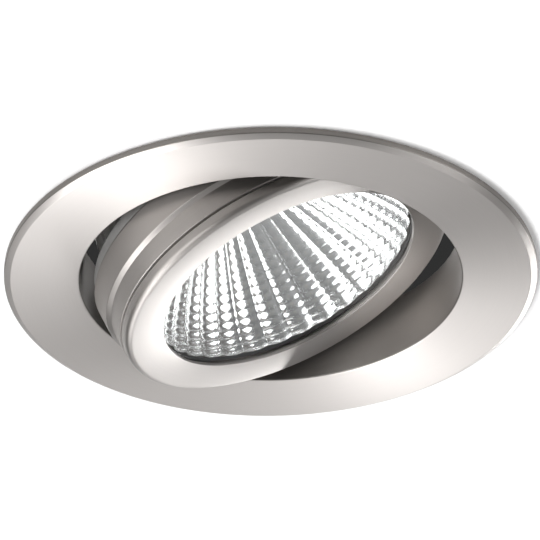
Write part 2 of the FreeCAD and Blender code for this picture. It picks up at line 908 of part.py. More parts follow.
# ---- heat sink ----
def sink_funnel(mouth, floor, bottom, top):
    """Solid funnel between two radii."""
    return turned([(0, bottom), (mouth, bottom), (floor, top), (0, top)])


def fin():
    """One radial fin, from the funnel out to a tapering edge, rounded at its upper outer corner."""
    return slab(
        [
            (fin_hub_radius, w_floor),
            (sink_floor_radius, housing_back + sink_flange_wall / 2),
            (fin_foot_radius, housing_back + sink_flange_wall / 2),
            (fin_tip_radius, w_fin_top, fin_edge_round),
            (fin_hub_radius, w_fin_top, fin_edge_round),
        ],
        lambda r, z: vec(r, -fin_wall / 2, z),
        vec(0, fin_wall, 0),
    )


def heat_sink():
    """Die-cast funnel with radial fins; its flange is screwed to the housing, its floor carries the light source."""
    flange = disc(head_radius - sink_flange_setback, housing_back, w_sink_flange)
    outside = sink_funnel(sink_mouth_radius + sink_wall, sink_floor_radius + sink_wall, housing_back, w_base_back)
    inside = sink_funnel(sink_mouth_radius, sink_floor_radius, housing_back, w_floor)
    fins = round_pattern(fin(), fin_count, full_turn / fin_count / 2)
    body = joined([flange, outside] + fins)
    cuts = [inside, bar(grommet_neck_radius, vec(0, grommet_offset, w_floor - over),
                        vec(0, grommet_offset, w_fin_top))]
    cuts.append(bar(grommet_flange_radius + grommet_access, vec(0, grommet_offset, w_base_back),
                    vec(0, grommet_offset, w_fin_top + over)))
    for x in (-holder_screw_spread, holder_screw_spread):
        cuts.append(bar(holder_screw_radius, vec(x, 0, w_floor - over), vec(x, 0, w_floor + holder_screw_grip)))
    clearance = bar(sink_screw_radius, vec(sink_screw_circle, 0, housing_back - over),
                    vec(sink_screw_circle, 0, w_fin_top))
    access = bar(sink_screw_head_radius + sink_screw_access, vec(sink_screw_circle, 0, w_sink_flange),
                 vec(sink_screw_circle, 0, w_fin_top + over))
    cuts += round_pattern(clearance, sink_screw_count) + round_pattern(access, sink_screw_count)
    return body.cut(cuts)


def sink_screw():
    """Round-headed screw with a hexagon socket, through the heat sink's flange into the housing."""
    profile = [
        (0, housing_back - sink_screw_grip),
        (sink_screw_radius, housing_back - sink_screw_grip),
        (sink_screw_radius, w_sink_flange),
        (sink_screw_head_radius, w_sink_flange),
        (sink_screw_head_radius, w_sink_flange + sink_screw_head, sink_screw_head * 0.6),
        (0, w_sink_flange + sink_screw_head),
    ]
    top = w_sink_flange + sink_screw_head
    socket = hexagon(drive_radius, top - drive_depth, drive_depth + over)
    return moved(turned(profile).cut(socket), vec(sink_screw_circle, 0, 0))


def cable_grommet():
    """Rubber grommet in the floor of the heat sink, for the supply lead."""
    profile = [
        (grommet_bore_radius, w_floor - grommet_inner_flange),
        (grommet_flange_radius, w_floor - grommet_inner_flange, grommet_inner_flange / 3),
        (grommet_flange_radius, w_floor),
        (grommet_neck_radius, w_floor),
        (grommet_neck_radius, w_base_back),
        (grommet_flange_radius, w_base_back),
        (grommet_flange_radius, w_base_back + grommet_outer_flange, grommet_outer_flange / 2),
        (grommet_bore_radius, w_base_back + grommet_outer_flange),
    ]
    return moved(turned(profile), vec(0, grommet_offset, 0))


def group(shapes):
    return Part.makeCompound(shapes)


def pieces():
    """Every piece by name, in its place. Front is the -Y side, rear is the +Y side."""
    made = {
        "trim_ring": trim_ring(),
        "ceiling_gasket": ceiling_gasket(),
        "bracket_rivets": group(both_sides(bracket_rivet(-rivet_spread)) + both_sides(bracket_rivet(rivet_spread))),
        "front_bezel": in_head(front_bezel()),
        "lens": in_head(lens()),
        "lens_gasket": in_head(lens_gasket()),
        "reflector": in_head(reflector()),
        "head_housing": in_head(head_housing()),
        "thermal_pad": in_head(thermal_pad()),
        "led_board": in_head(led_board()),
        "led_chip": in_head(led_chip()),
        "led_holder": in_head(led_holder()),
        "holder_screws": in_head(group([holder_screw(-holder_screw_spread), holder_screw(holder_screw_spread)])),
        "heat_sink": in_head(heat_sink()),
        "sink_screws": in_head(group(round_pattern(sink_screw(), sink_screw_count))),
        "cable_grommet": in_head(cable_grommet()),
    }
    paired = {
        "clip_bracket": both_sides(clip_bracket()),
        "clip_pin": both_sides(clip_pin()),
        "clip_wing": both_sides(clip_wing()),
        "clip_pad": both_sides(clip_pad()),
        "clip_spring": both_sides(clip_spring()),
        "pivot_screw": [in_head(side) for side in both_sides(pivot_screw())],
        "pivot_washer": [in_head(side) for side in both_sides(pivot_washer())],
        "pivot_spring_washer": [in_head(side) for side in both_sides(pivot_spring_washer())],
    }
    for name, (rear, front) in paired.items():
        made[name + "_rear"] = rear
        made[name + "_front"] = front
    return made


def main():
    os.makedirs("parts", exist_ok=True)
    for name, shape in pieces().items():
        shape.exportStep(os.path.join("parts", name + ".step"))


main()
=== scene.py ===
"""Looks of a recessed soffit downlight with a tilting round head, seen from below in a white soffit.

Lengths are metres. The origin is on the fitting's axis in the plane of the soffit, and +Z points up into
the void. The head is drawn about its own axis with its pivot at height zero ("w" is the height above the
pivot), then tilted and lifted into place, as it hangs in the photograph.
"""
import json
import math

import bpy
import numpy as np
from mathutils import Matrix, Vector


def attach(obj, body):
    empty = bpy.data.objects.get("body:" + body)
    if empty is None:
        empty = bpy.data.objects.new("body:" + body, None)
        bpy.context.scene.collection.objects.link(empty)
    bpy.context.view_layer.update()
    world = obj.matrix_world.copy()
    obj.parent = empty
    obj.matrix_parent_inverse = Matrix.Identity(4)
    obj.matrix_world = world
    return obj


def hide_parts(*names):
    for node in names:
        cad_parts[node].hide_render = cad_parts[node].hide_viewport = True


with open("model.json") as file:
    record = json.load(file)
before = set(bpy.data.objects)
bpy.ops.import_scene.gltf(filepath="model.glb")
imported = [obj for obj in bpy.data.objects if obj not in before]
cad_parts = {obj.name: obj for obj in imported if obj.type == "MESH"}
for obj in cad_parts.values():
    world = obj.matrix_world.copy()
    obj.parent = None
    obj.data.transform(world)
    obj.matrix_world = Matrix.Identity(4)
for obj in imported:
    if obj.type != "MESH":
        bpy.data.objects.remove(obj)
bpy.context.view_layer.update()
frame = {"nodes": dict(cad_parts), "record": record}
bpy.ops.object.select_all(action="DESELECT")

MM = 0.001

# ---- fitting: the sizes of the turned parts ----
OPENING = 29.4 * MM
FLANGE = 41.0 * MM
CUTOUT = 34.0 * MM
COLLAR = OPENING + 1.5 * MM
COLLAR_RISE = 8.5 * MM
FLANGE_BACK = -0.3 * MM
RIM_HEIGHT = 0.97 * MM
BEVEL_HEIGHT = 0.6 * MM
BEVEL_WIDTH = 1.0 * MM
FACE_Z = FLANGE_BACK - RIM_HEIGHT - BEVEL_HEIGHT
FOAM_SEAT_MARGIN = 0.5 * MM   # from the cut-out to the foam's groove
FOAM_SEAT_WIDTH = 5.0 * MM
FOAM_SEAT_DEPTH = 0.4 * MM

# ---- clip posts, pivot pads and ribs of the collar ----
POST_HALF_WIDTH = 7.5 * MM
POST_BOTTOM = 7.6 * MM
POST_TOP = 14.5 * MM
PAD_RADIUS = 3.6 * MM
PAD_PROUD = 0.4 * MM          # how far a pad stands into the opening
RIBS = 8
RIB_WALL = 1.2 * MM
RIB_LOW = 1.5 * MM            # height of a rib at its outer end
RIB_HIGH = 4.5 * MM           # height of a rib at the collar
RIB_SETBACK = 0.5 * MM        # from the rib's outer end to the cut-out
OVERLAP = 0.05 * MM           # how far two shells of one piece run into each other
SKIN = 0.02 * MM              # keeps two faces apart that would be flush

# ---- wings and their springs ----
WING_DROOP = 25.0
SPRING_TURNS = 4
SPRING_WIRE = 0.4 * MM
SPRING_RADIUS = 1.55 * MM
SPRING_HALF = 3.25 * MM
SPRING_FOOT = 4.4 * MM
SPRING_ARM = 8.0 * MM
PIN_Y = COLLAR - SPRING_WIRE + SPRING_RADIUS
PIN_Z = POST_TOP + 2.1 * MM
NOTCH_GAP = 0.25 * MM         # round the spring's leg in its notch
NOTCH_HALF = SPRING_WIRE + NOTCH_GAP
NOTCH_FLOOR = PIN_Z - SPRING_FOOT - NOTCH_GAP

# ---- tilt of the head ----
PIVOT_Z = 4.33 * MM
TILT = math.radians(24.5)

# ---- head, from the front ----
HEAD_RADIUS = OPENING - 1.3 * MM
BEZEL_RADIUS = HEAD_RADIUS - 0.7 * MM
BAND_RADIUS = HEAD_RADIUS - 0.6 * MM
WINDOW_RADIUS = BEZEL_RADIUS - 6.2 * MM
LENS_RADIUS = WINDOW_RADIUS + 1.0 * MM
LENS_WALL = 1.0 * MM
LENS_GAP = 0.3 * MM           # from the lens's edge to the bezel
GASKET_WIDTH = 0.4 * MM
GASKET_WALL = 0.3 * MM
GROOVE_WIDTH = 0.4 * MM       # between bezel and housing
GROOVE_DEPTH = 1.7 * MM
BEAD_RISE = 0.6 * MM
HOUSING_GAP = 0.2 * MM        # from the lens's edge to the housing's mouth
HOUSING_LAP = 0.9 * MM        # how far the housing's back narrows inside the lens's edge
W_FACE = -6.7 * MM
W_BEZEL_BACK = W_FACE + 2.0 * MM
W_BAND = W_BEZEL_BACK + GROOVE_WIDTH
W_BEAD = W_BAND + 3.1 * MM
W_HOUSING_BACK = 4.0 * MM
W_LENS = W_FACE + 0.5 * MM
W_LENS_BACK = W_LENS + LENS_WALL
W_RIM = W_LENS_BACK + GASKET_WALL
BOSS_FACE = OPENING - 0.9 * MM
BOSS_DEPTH = 3.3 * MM

# ---- reflector ----
FLUTES = 32
FLUTE_TURN = math.radians(3.75)
ROWS = 17
REFLECTOR_DEPTH = 19.1 * MM
APERTURE = WINDOW_RADIUS + 0.3 * MM
BASE_RADIUS = 5.6 * MM
BOWL = 1.3
FLUTE_DIP = 0.022             # height of the ridges between flutes, as a share of the radius
ROW_DIP = 0.09 * MM           # height of the ridges between rows
REFLECTOR_WALL = 0.6 * MM
BRIM_RADIUS = LENS_RADIUS - 0.1 * MM
BRIM_WALL = 0.8 * MM

# ---- photograph: where the camera stands ----
CAMERA_BELOW = math.radians(32.1)
CAMERA_TURN = math.radians(-3.7)
CAMERA_ROLL = math.radians(-0.76)
CAMERA_DISTANCE = 2.0
FOCAL_PIXELS = 13012.0
PICTURE_PIXELS = 540.0
CENTRE_PIXEL = (270.74, 269.66)
SENSOR_MM = 36.0

# ---- world: its level straight down, near the horizon and up in the void ----
DOWN_LEVEL = 0.4
SIDE_LEVEL = 0.15
VOID_LEVEL = 0.03
SIDE_SINE = -0.35             # sine of the elevation from which the side level holds
BLEND_SINE = 0.02             # half the height of the blend into the void's level

# ---- lamps over the back of the fitting ----
BACK_AIM = (0.0, 0.0, 0.03)
BACK_PLACES = ((0.9, 0.5, 0.35), (-0.7, 0.8, 0.35), (0.3, -1.0, 0.35))

# ---- colours of the nickel, and its painted wall shade, by the cosine between a surface's normal and the turning axis ----
FULL_SHADE_COSINE = 0.6             # up to here a surface has the full painted shade of a wall
NO_SHADE_COSINE = 0.95            # from here on it has the nickel's own colour, without painted shade
NICKEL = (0.64, 0.61, 0.59)
# Painted shade: the upright walls of trim and head are coloured darker than the nickel, standing for the
# shade and dark reflections in the opening
TRIM_WALL_SHADE = (0.20, 0.187, 0.175)
HEAD_WALL_SHADE = (0.29, 0.273, 0.26)
HEAD_AXIS = (-math.sin(TILT), 0.0, math.cos(TILT))
PIVOT = (0.0, 0.0, PIVOT_Z)


# ---------------------------------------------------------------- shapes
def rounded(corners, steps=7):
    """Closed outline through (r, z, round) corners. A rounded corner is an arc tangent to both sides: its
    centre lies on the bisector at round / sin(half angle), and its points turn evenly between the sides."""
    points = [np.array(corner[:2], float) for corner in corners]
    rounds = [corner[2] if len(corner) > 2 else 0.0 for corner in corners]
    line = []
    for i, (corner, radius) in enumerate(zip(points, rounds)):
        if radius <= 0:
            line.append(corner[None])
            continue
        back = points[i - 1] - corner
        ahead = points[(i + 1) % len(points)] - corner
        back /= np.linalg.norm(back)
        ahead /= np.linalg.norm(ahead)
        half = math.acos(np.clip(back @ ahead, -1, 1)) / 2
        inward = (back + ahead) / np.linalg.norm(back + ahead)
        centre = corner + inward * radius / math.sin(half)
        first = corner + back * radius / math.tan(half) - centre
        last = corner + ahead * radius / math.tan(half) - centre
        start = math.atan2(first[1], first[0])
        sweep = (math.atan2(last[1], last[0]) - start + math.pi) % (2 * math.pi) - math.pi
        angle = start + sweep * np.linspace(0, 1, steps)
        line.append(centre + radius * np.stack([np.cos(angle), np.sin(angle)], 1))
    return np.concatenate(line)


def grid_faces(rows, columns, close_rows, close_columns):
    """Quads of a grid of points, where point (i, j) is number i * columns + j. A closed side wraps round."""
    i = np.arange(rows if close_rows else rows - 1)[:, None]
    j = np.arange(columns if close_columns else columns - 1)[None, :]
    below, right = (i + 1) % rows, (j + 1) % columns
    quads = [i * columns + j, i * columns + right, below * columns + right, below * columns + j]
    return np.stack([np.broadcast_to(q, (len(i), j.shape[1])) for q in quads], -1).reshape(-1, 4)


def mesh_object(name, shells, smooth_angle=30.0):
    """One mesh from closed shells, each given as its points, its quads and its many-sided caps. Normals are
    turned outwards, and faces that meet at less than an angle are smooth."""
    points, faces, first = [], [], 0
    for shell_points, quads, caps in shells:
        flat = np.asarray(shell_points, float).reshape(-1, 3)
        points.append(flat)
        faces += (quads + first).tolist() + [(cap + first).tolist() for cap in caps]
        first += len(flat)
    mesh = bpy.data.meshes.new(name)
    mesh.from_pydata(np.concatenate(points).tolist(), [], faces)
    mesh.validate()
    obj = bpy.data.objects.new(name, mesh)
    bpy.context.collection.objects.link(obj)
    bpy.context.view_layer.objects.active = obj
    obj.select_set(True)
    bpy.ops.object.mode_set(mode="EDIT")
    bpy.ops.mesh.select_all(action="SELECT")
    bpy.ops.mesh.normals_make_consistent(inside=False)
    bpy.ops.object.mode_set(mode="OBJECT")
    bpy.ops.object.shade_smooth_by_angle(angle=math.radians(smooth_angle))
    obj.select_set(False)
    return obj


def turned_points(profile, segments):
    """Points of a profile turned about Z: (r cos a, r sin a, z) for even angles a, one row per angle."""
    angle = np.linspace(0, 2 * math.pi, segments, endpoint=False)[:, None]
    radius, height = profile[:, 0][None], profile[:, 1][None]
    return np.stack([radius * np.cos(angle), radius * np.sin(angle), height + 0 * angle], -1)


def turned(corners, segments=256):
    """Ring shell: a closed outline of (radius, height) corners, turned about Z."""
    profile = rounded(corners)
    return turned_points(profile, segments), grid_faces(segments, len(profile), True, True), []


def turned_disc(corners, segments=192):
    """Disc shell: an outline from the front face's edge to the back face's edge, turned about Z. Each face
    is one flat cap on the ring where the outline starts or ends."""
    profile = rounded([(0, corners[0][1])] + list(corners) + [(0, corners[-1][1])])[1:-1]
    ring = np.arange(segments) * len(profile)
    quads = grid_faces(segments, len(profile), True, False)
    return turned_points(profile, segments), quads, [ring, ring + len(profile) - 1]


def slab(corners, origin, u, v, depth):
    """Closed shell of a flat outline pushed along a vector: each (u, v) corner stands at origin + u U + v V,
    once at the near face and once at the far face, with the sides between them."""
    outline = rounded(corners)
    near = np.array(origin) + outline[:, :1] * np.array(u) + outline[:, 1:] * np.array(v)
    count = len(near)
    ring = np.arange(count)
    after = (ring + 1) % count
    sides = np.stack([ring, after, after + count, ring + count], 1)
    return np.concatenate([near, near + np.array(depth)]), sides, [ring[::-1], ring + count]


def placed(shell, place, *settings):
    """The same shell with its points put through a placing function."""
    return (place(shell[0], *settings),) + shell[1:]


def circle_outline(radius, rise, count=48):
    """Corners of a round outline, (r cos a, rise + r sin a) for even angles a."""
    angle = np.linspace(0, 2 * math.pi, count, endpoint=False)
    return np.stack([radius * np.cos(angle), rise + radius * np.sin(angle)], 1)


def turned_about_z(points, angle):
    """Points turned about the fitting's axis: (x cos a - y sin a, x sin a + y cos a, z)."""
    x, y, z = points[..., 0], points[..., 1], points[..., 2]
    across = x * math.cos(angle) - y * math.sin(angle)
    along = x * math.sin(angle) + y * math.cos(angle)
    return np.stack([across, along, z], -1)


def in_head(points):
    """Points of the head tilted by t about Y and lifted to the pivot:
    (x cos t - w sin t, y, x sin t + w cos t + pivot height)."""
    x, y, w = points[..., 0], points[..., 1], points[..., 2]
    across = x * math.cos(TILT) - w * math.sin(TILT)
    up = x * math.sin(TILT) + w * math.cos(TILT) + PIVOT_Z
    return np.stack([across, y, up], -1)


# ---------------------------------------------------------------- materials
class Nodes:
    """One node tree, with short calls that add and link its nodes."""

    def __init__(self, tree):
        self.tree = tree
        tree.nodes.clear()

    def add(self, kind, settings=None, **inputs):
        """New node with its settings, and its inputs by name, with _ for a space."""
        node = self.tree.nodes.new(kind)
        for key, value in (settings or {}).items():
            setattr(node, key, value)
        for key, value in inputs.items():
            self.give(node, key.replace("_", " "), value)
        return node

    def give(self, node, key, value):
        """Links a socket to an input, or sets the input to a value."""
        socket = node.inputs[key]
        if isinstance(value, bpy.types.NodeSocket):
            self.tree.links.new(value, socket)
        else:
            socket.default_value = value

    def math(self, operation, first, second=0.0):
        """Result of a sum on two numbers."""
        node = self.add("ShaderNodeMath", {"operation": operation})
        self.give(node, 0, first)
        self.give(node, 1, second)
        return node.outputs[0]

    def vector(self, operation, first, second=(0, 0, 0)):
        """Result of a sum on two vectors, a number where the sum gives one."""
        node = self.add("ShaderNodeVectorMath", {"operation": operation})
        self.give(node, 0, first)
        self.give(node, 1, second)
        return node.outputs["Value" if operation in ("LENGTH", "DOT_PRODUCT") else "Vector"]

    def mix_colour(self, share, first, second, blend="MIX"):
        """First colour, changed towards the second by a share."""
        node = self.add("ShaderNodeMix", {"data_type": "RGBA", "blend_type": blend})
        self.give(node, 0, share)
        self.give(node, 6, first)
        self.give(node, 7, second)
        return node.outputs[2]

    def spread(self, value, amount):
        """Turns a value of 0 to 1 into 1 - amount to 1 + amount."""
        node = self.add("ShaderNodeMapRange", None, Value=value)
        self.give(node, "To Min", self.math("SUBTRACT", 1.0, amount))
        self.give(node, "To Max", self.math("ADD", 1.0, amount))
        return node.outputs[0]


def node_group(name, inputs, outputs):
    """Empty shader node group with named inputs and outputs of the given kinds."""
    tree = bpy.data.node_groups.new(name, "ShaderNodeTree")
    for title, kind in inputs.items():
        tree.interface.new_socket(title, in_out="INPUT", socket_type="NodeSocket" + kind)
    for title, kind in outputs.items():
        tree.interface.new_socket(title, in_out="OUTPUT", socket_type="NodeSocket" + kind)
    nodes = Nodes(tree)
    return nodes, nodes.add("NodeGroupInput").outputs, nodes.add("NodeGroupOutput")


def build_turned_finish_and_wall_shade():
    """Lathe finish with painted shade: uneven fine rings about an axis, which change the tone, the gloss and
    the height a little, and a darker painted shade on walls that stand along the axis than on faces square
    to it."""
    nodes, given, out = node_group(
        "turned_finish_and_wall_shade",
        {"Axis": "Vector", "Centre": "Vector", "Rings": "Float", "Grain": "Float", "Face Colour": "Color",
         "Wall Colour": "Color", "Roughness": "Float"},
        {"Colour": "Color", "Roughness": "Float", "Height": "Float"},
    )
    place = nodes.add("ShaderNodeTexCoord")
    reach = nodes.vector("SUBTRACT", place.outputs["Object"], given["Centre"])
    height = nodes.vector("DOT_PRODUCT", reach, given["Axis"])
    along = nodes.add("ShaderNodeVectorMath", {"operation": "SCALE"}, Scale=height)
    nodes.give(along, 0, given["Axis"])
    flat = nodes.vector("SUBTRACT", reach, along.outputs[0])
    across = nodes.add("ShaderNodeCombineXYZ")
    nodes.give(across, 0, nodes.math("MULTIPLY", nodes.vector("LENGTH", flat), given["Rings"]))
    nodes.give(across, 1, nodes.math("MULTIPLY", height, given["Rings"]))
    round_change = (2.1, 2.1, 0.3)  # lets the rings change slowly on the way round the axis
    nodes.give(across, 2, nodes.vector("DOT_PRODUCT", nodes.vector("NORMALIZE", flat), round_change))
    noise = nodes.add("ShaderNodeTexNoise", None, Vector=across.outputs[0], Scale=1.0, Detail=3.0)
    rings = noise.outputs["Fac"]
    # Painted shade: walls along the axis get the darker shaded wall colour, faces square to it the nickel's
    # own colour
    facing = nodes.math("ABSOLUTE", nodes.vector("DOT_PRODUCT", place.outputs["Normal"], given["Axis"]))
    face = nodes.add(
        "ShaderNodeMapRange", {"interpolation_type": "SMOOTHSTEP"}, Value=facing, From_Min=FULL_SHADE_COSINE,
        From_Max=NO_SHADE_COSINE,
    )
    tone = nodes.mix_colour(face.outputs[0], given["Wall Colour"], given["Face Colour"])
    shade = nodes.spread(rings, nodes.math("MULTIPLY", given["Grain"], 0.12))
    rough = nodes.spread(rings, nodes.math("MULTIPLY", given["Grain"], 0.3))
    nodes.give(out, "Colour", nodes.mix_colour(1.0, tone, shade, "MULTIPLY"))
    nodes.give(out, "Roughness", nodes.math("MULTIPLY", rough, given["Roughness"]))
    nodes.give(out, "Height", rings)
    return nodes.tree


def build_cloudy_finish():
    """Even surface with a faint cloudy change of tone and gloss, and the same cloud as a height."""
    nodes, given, out = node_group(
        "cloudy_finish",
        {"Colour": "Color", "Roughness": "Float", "Scale": "Float", "Spread": "Float"},
        {"Colour": "Color", "Roughness": "Float", "Height": "Float"},
    )
    place = nodes.add("ShaderNodeTexCoord").outputs["Object"]
    noise = nodes.add("ShaderNodeTexNoise", None, Vector=place, Scale=given["Scale"], Detail=4.0)
    cloud = noise.outputs["Fac"]
    shade = nodes.spread(cloud, given["Spread"])
    nodes.give(out, "Colour", nodes.mix_colour(1.0, given["Colour"], shade, "MULTIPLY"))
    nodes.give(out, "Roughness", nodes.math("MULTIPLY", shade, given["Roughness"]))
    nodes.give(out, "Height", cloud)
    return nodes.tree


TURNED_FINISH_AND_WALL_SHADE = build_turned_finish_and_wall_shade()
CLOUDY_FINISH = build_cloudy_finish()


def new_material(name):
    """Material with an empty node tree."""
    material = bpy.data.materials.new(name)
    material.use_nodes = True
    return material, Nodes(material.node_tree)


def show(nodes, shader):
    """Makes a shader the surface of its material."""
    output = nodes.add("ShaderNodeOutputMaterial")
    nodes.tree.links.new(shader, output.inputs["Surface"])


def turning_tangent(nodes, axis, centre):
    """World direction of a lathe's marks: the axis crossed with the way out from the turning centre."""
    place = nodes.add("ShaderNodeTexCoord").outputs["Object"]
    around = nodes.vector("CROSS_PRODUCT", axis, nodes.vector("SUBTRACT", place, centre))
    settings = {"vector_type": "VECTOR", "convert_from": "OBJECT", "convert_to": "WORLD"}
    in_world = nodes.add("ShaderNodeVectorTransform", settings, Vector=around)
    return nodes.vector("NORMALIZE", in_world.outputs[0])


def turned_nickel(name, axis, centre, wall, roughness, anisotropy, grain=0.35):
    """Satin nickel turned about an axis. Highlights stretch across the lathe's marks, a quarter turn off."""
    material, nodes = new_material(name)
    # The wall colour is painted shade, laid on surfaces that stand along the axis
    finish = nodes.add(
        "ShaderNodeGroup", {"node_tree": TURNED_FINISH_AND_WALL_SHADE}, Axis=axis, Centre=centre, Rings=9000.0, Grain=grain,
        Face_Colour=(*NICKEL, 1), Wall_Colour=(*wall, 1), Roughness=roughness,
    ).outputs
    bump = nodes.add(
        "ShaderNodeBump", None, Height=finish["Height"], Strength=0.05 * grain, Distance=0.02 * MM,
    )
    shader = nodes.add(
        "ShaderNodeBsdfPrincipled", None, Base_Color=finish["Colour"], Metallic=1.0,
        Roughness=finish["Roughness"], Anisotropic=anisotropy, Anisotropic_Rotation=0.25,
        Tangent=turning_tangent(nodes, axis, centre), Normal=bump.outputs[0],
    )
    show(nodes, shader.outputs[0])
    return material


def cloudy_material(name, colour, roughness, metallic=0.0, scale=900.0, spread=0.06, grain=0.0):
    """Metal, rubber, foam or moulded plastic with a cloudy finish; grain is the height of its surface."""
    material, nodes = new_material(name)
    finish = nodes.add(
        "ShaderNodeGroup", {"node_tree": CLOUDY_FINISH}, Colour=(*colour, 1), Roughness=roughness,
        Scale=scale, Spread=spread,
    ).outputs
    bump = nodes.add("ShaderNodeBump", None, Height=finish["Height"], Strength=0.3, Distance=grain)
    shader = nodes.add(
        "ShaderNodeBsdfPrincipled", None, Base_Color=finish["Colour"], Metallic=metallic,
        Roughness=finish["Roughness"], Normal=bump.outputs[0],
    )
    show(nodes, shader.outputs[0])
    return material


def bare_metal(name, colour, roughness, spread=0.08):
    """Metal with a cloudy change of tone and an even surface."""
    return cloudy_material(name, colour, roughness, metallic=1.0, spread=spread)


def moulded(name, colour, roughness, spread=0.06, grain=0.1 * MM):
    """Rubber, plastic, foam or board, with a finer cloud than metal and a slightly uneven surface."""
    return cloudy_material(name, colour, roughness, scale=4000.0, spread=spread, grain=grain)


def clear_glass(name):
    """Clear lens: straight through for light and camera, with a thin reflection that grows at a low angle.
    Only the side that a ray comes in by reflects, as the material doesn't bend the ray inside the glass."""
    material, nodes = new_material(name)
    through = nodes.add("ShaderNodeBsdfTransparent", None, Color=(0.985, 0.99, 0.99, 1))
    gloss = nodes.add("ShaderNodeBsdfGlossy", None, Color=(1, 1, 1, 1), Roughness=0.02)
    share = nodes.add("ShaderNodeFresnel", None, IOR=1.45)
    mix = nodes.add("ShaderNodeMixShader")
    outside = nodes.math("SUBTRACT", 1.0, nodes.add("ShaderNodeNewGeometry").outputs["Backfacing"])
    nodes.give(mix, 0, nodes.math("MULTIPLY", share.outputs[0], outside))
    nodes.give(mix, 1, through.outputs[0])
    nodes.give(mix, 2, gloss.outputs[0])
    show(nodes, mix.outputs[0])
    return material


def soffit_paint(name):
    """White painted board. Only a camera above it looks through it, to see the back of the fitting."""
    material, nodes = new_material(name)
    finish = nodes.add(
        "ShaderNodeGroup", {"node_tree": CLOUDY_FINISH}, Colour=(0.97, 0.97, 0.97, 1), Roughness=1.0,
        Scale=60.0, Spread=0.004,
    ).outputs
    paint = nodes.add("ShaderNodeBsdfDiffuse", None, Color=finish["Colour"])
    clear = nodes.add("ShaderNodeBsdfTransparent", None, Color=(1, 1, 1, 1))
    seen = nodes.add("ShaderNodeLightPath").outputs["Is Camera Ray"]
    above = nodes.add("ShaderNodeNewGeometry").outputs["Backfacing"]
    mix = nodes.add("ShaderNodeMixShader")
    nodes.give(mix, 0, nodes.math("MULTIPLY", seen, above))
    nodes.give(mix, 1, paint.outputs[0])
    nodes.give(mix, 2, clear.outputs[0])
    show(nodes, mix.outputs[0])
    return material


SLOT_MATERIALS = {
    "trim_nickel": turned_nickel("trim_nickel", (0.0, 0.0, 1.0), (0.0, 0.0, 0.0), TRIM_WALL_SHADE, 0.42, 0.8),
    "head_nickel": turned_nickel("head_nickel", HEAD_AXIS, PIVOT, HEAD_WALL_SHADE, 0.42, 0.6),
    "bright_reflector": bare_metal("bright_reflector", (0.95, 0.95, 0.95), 0.18, spread=0.02),
    "clear_lens": clear_glass("clear_lens"),
    "heat_sink_metal": bare_metal("heat_sink_metal", (0.5, 0.495, 0.485), 0.55, spread=0.1),
    "zinc_steel": bare_metal("zinc_steel", (0.62, 0.63, 0.65), 0.32),
    "spring_steel": bare_metal("spring_steel", (0.5, 0.5, 0.52), 0.28),
    "screw_steel": bare_metal("screw_steel", (0.42, 0.42, 0.43), 0.3),
    "black_rubber": moulded("black_rubber", (0.03, 0.03, 0.03), 0.7),
    "grey_foam": moulded("grey_foam", (0.09, 0.09, 0.095), 0.95, spread=0.25, grain=0.3 * MM),
    "clear_silicone": moulded("clear_silicone", (0.62, 0.62, 0.6), 0.45),
    "nylon": moulded("nylon", (0.75, 0.73, 0.66), 0.5),
    "white_moulding": moulded("white_moulding", (0.82, 0.82, 0.8), 0.5),
    "board_metal": moulded("board_metal", (0.8, 0.81, 0.8), 0.4),
    "phosphor": moulded("phosphor", (0.85, 0.62, 0.08), 0.5),
    "thermal_grey": moulded("thermal_grey", (0.3, 0.32, 0.34), 0.6),
}
NODE_SLOT = {part["node"]: part["material_slot"] for part in frame["record"]["subparts"]}


def dress_nodes():
    """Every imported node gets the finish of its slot."""
    for name, obj in frame["nodes"].items():
        obj.data.materials.clear()
        obj.data.materials.append(SLOT_MATERIALS[NODE_SLOT[name]])


def place_piece(obj, node, body):
    """A new piece takes its node's finish, body and slot, and stands for the node."""
    slot = NODE_SLOT[node]
    obj.data.materials.clear()
    obj.data.materials.append(SLOT_MATERIALS[slot])
    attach(obj, body)
    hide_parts(node)


# ---------------------------------------------------------------- pieces of the trim
def flange_shell():
    """Bevelled flange and collar, one turned section, with a groove in the flange's back for the foam."""
    seat_in = CUTOUT + FOAM_SEAT_MARGIN
    seat_out = seat_in + FOAM_SEAT_WIDTH
    seat_floor = FLANGE_BACK - FOAM_SEAT_DEPTH
    corners = [
        (OPENING, FACE_Z, 0.3 * MM),
        (FLANGE - BEVEL_WIDTH, FACE_Z, 0.25 * MM),
        (FLANGE, FACE_Z + BEVEL_HEIGHT, 0.25 * MM),
        (FLANGE, FLANGE_BACK, 0.08 * MM),
        (seat_out, FLANGE_BACK),
        (seat_out, seat_floor),
        (seat_in, seat_floor),
        (seat_in, FLANGE_BACK),
        (COLLAR, FLANGE_BACK, 0.8 * MM),
        (COLLAR, COLLAR_RISE, 0.3 * MM),
        (OPENING, COLLAR_RISE, 0.3 * MM),
    ]
    return turned(corners, 360)


